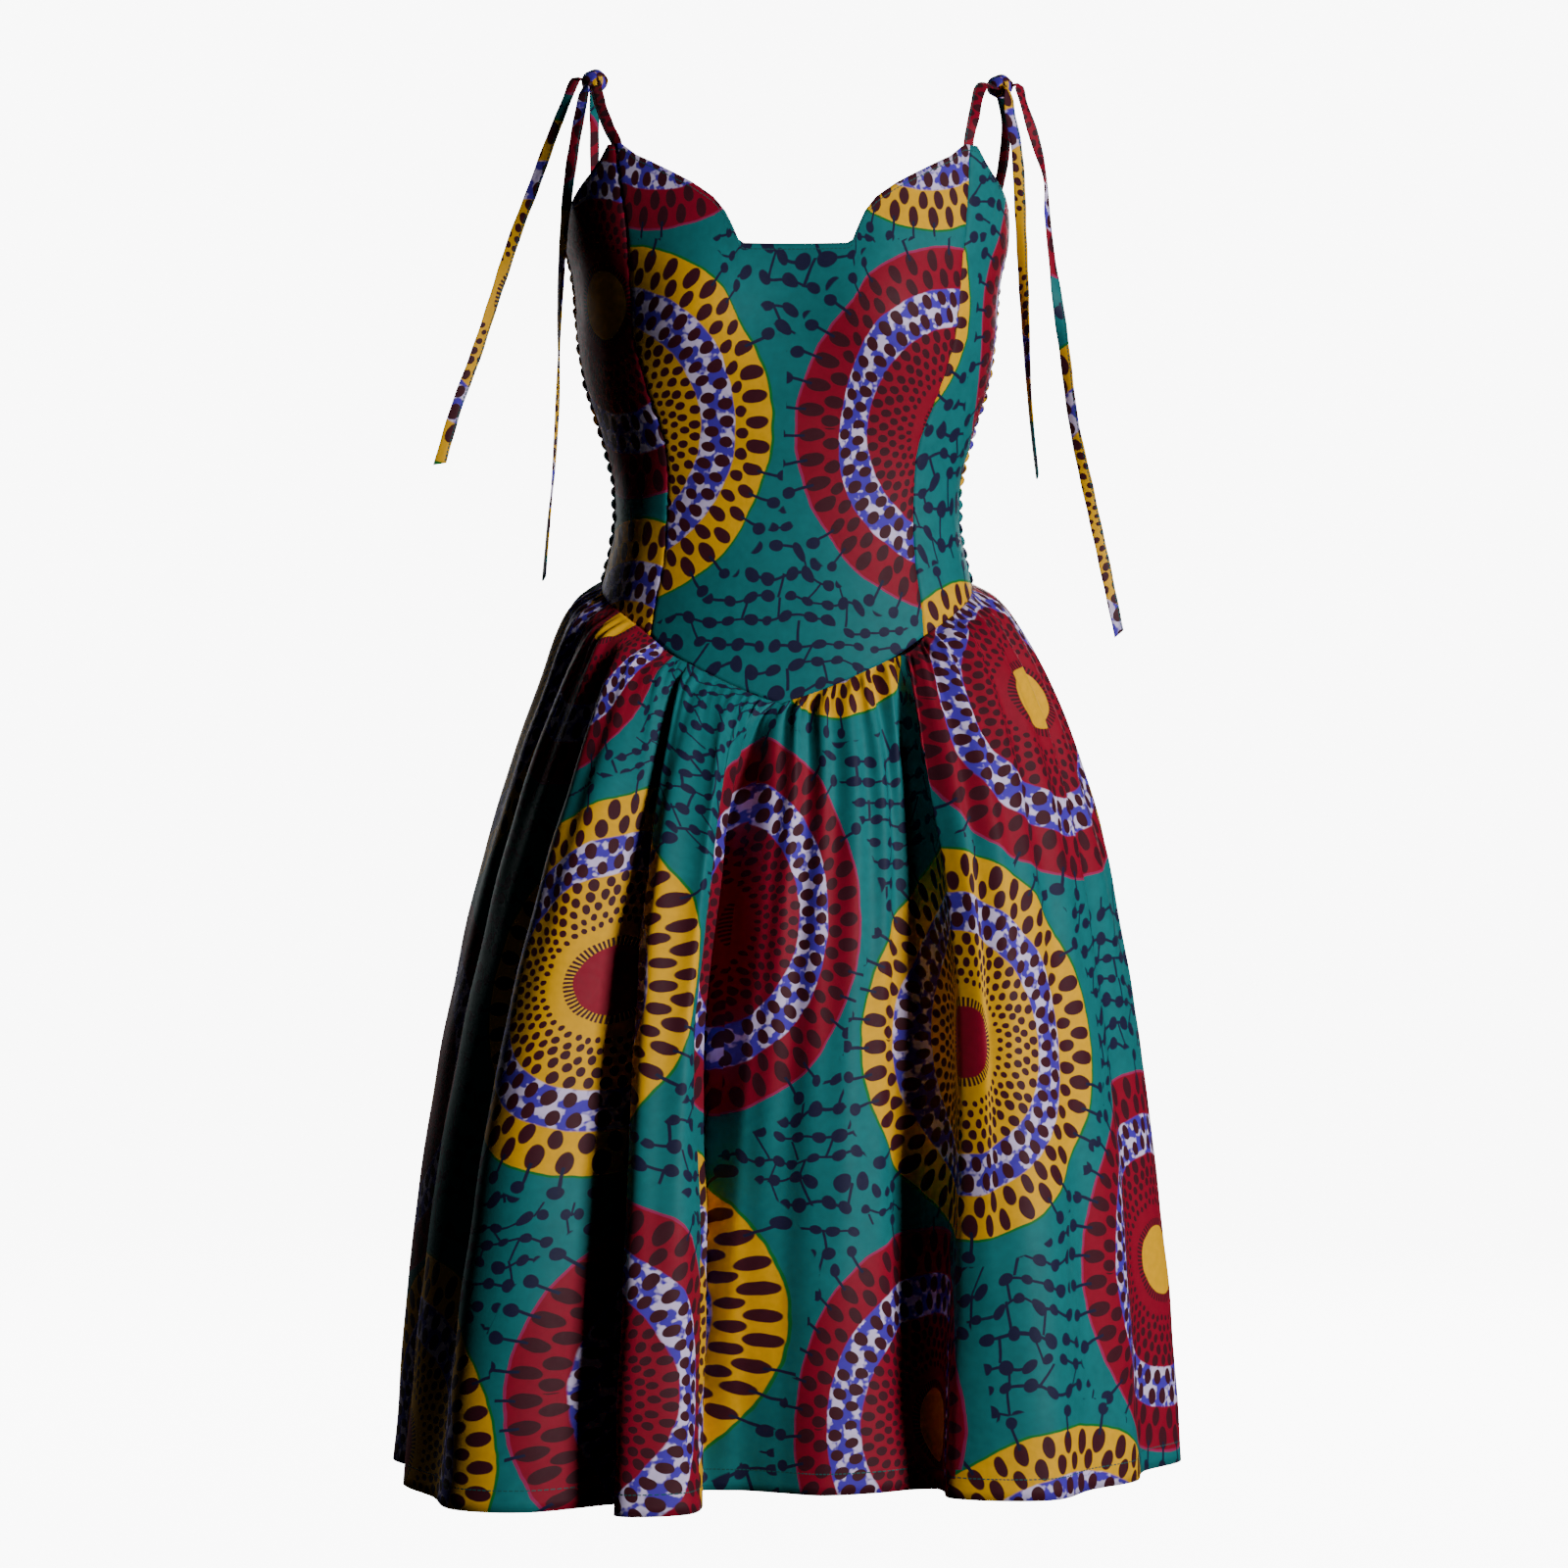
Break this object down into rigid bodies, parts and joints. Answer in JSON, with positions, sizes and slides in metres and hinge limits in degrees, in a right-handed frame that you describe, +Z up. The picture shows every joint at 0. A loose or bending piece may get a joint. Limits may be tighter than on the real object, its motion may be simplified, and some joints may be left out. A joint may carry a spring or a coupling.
{
  "type": "ankara wax print dress",
  "caption": "Sleeveless knee-length dress in wax-print cotton, filled out as worn, with a princess-seamed bodice, shirred back, V waist seam, gathered skirt and straps tied at the shoulders.",
  "frame": {"origin": "midway between the shoulders, at the height of the two strap knots, where a wearer's shoulders hold the dress", "axes": "+X to the right as seen from in front, +Y towards the back, +Z up"},
  "size_m": [0.5773, 0.5173, 1.0138],
  "materials": {
    "wax_print": "smooth crisp cotton, printed with large ringed discs in yellow and red on a teal ground",
    "shirred_wax_print": "the same printed cotton, drawn up in narrow rows by elastic thread",
    "strap_wax_print": "narrow folded strips of the same printed cotton"
  },
  "bodies": {
    "root": {"front_centre_panel": "wax_print", "side_front_left": "wax_print", "side_front_right": "wax_print", "skirt_front": "wax_print", "skirt_back": "wax_print", "back_shirred_panel": "shirred_wax_print", "strap_front_left": "strap_wax_print", "strap_front_right": "strap_wax_print", "strap_back_left": "strap_wax_print", "strap_back_right": "strap_wax_print", "knot_left": "strap_wax_print", "knot_right": "strap_wax_print", "tie_left_outer": "strap_wax_print", "tie_left_inner": "strap_wax_print", "tie_right_inner": "strap_wax_print", "tie_right_outer": "strap_wax_print"}
  },
  "joints": []
}
